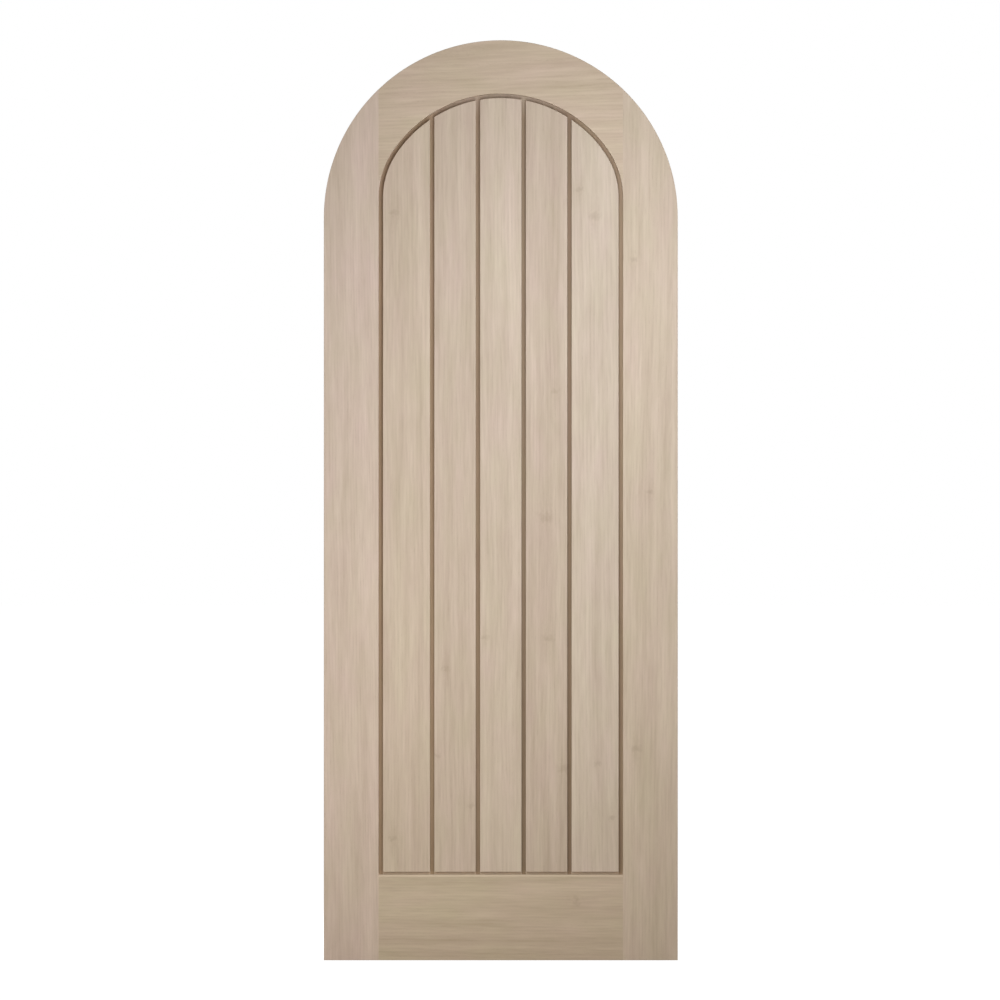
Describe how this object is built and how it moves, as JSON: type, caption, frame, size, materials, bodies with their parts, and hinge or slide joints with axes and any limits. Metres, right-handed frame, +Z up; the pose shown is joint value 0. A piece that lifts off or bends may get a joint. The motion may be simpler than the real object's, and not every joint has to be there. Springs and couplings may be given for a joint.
{
  "type": "arched wooden door",
  "caption": "Arched-top oak door leaf, with stiles, an arched top rail and a bottom rail round vertical tongued boards, for hinges on either edge.",
  "frame": {"origin": "middle of the bottom edge, at mid-thickness", "axes": "+Z up, +X across the leaf to the right as seen from the front, +Y through the thickness towards the back; the front face looks along -Y"},
  "size_m": [0.762, 0.044, 1.9809],
  "materials": {
    "stile_oak": "fine sanded oak, pale and matt",
    "rail_oak": "fine sanded oak, pale and matt",
    "board_oak": "fine sanded oak, pale and matt",
    "dowel_beech": "turned beech"
  },
  "bodies": {
    "root": {"left_stile": "stile_oak", "right_stile": "stile_oak", "arched_top_rail": "rail_oak", "bottom_rail": "rail_oak", "board_1": "board_oak", "board_2": "board_oak", "board_3": "board_oak", "board_4": "board_oak", "board_5": "board_oak", "top_rail_dowels": "dowel_beech", "bottom_rail_dowels": "dowel_beech"}
  },
  "joints": []
}
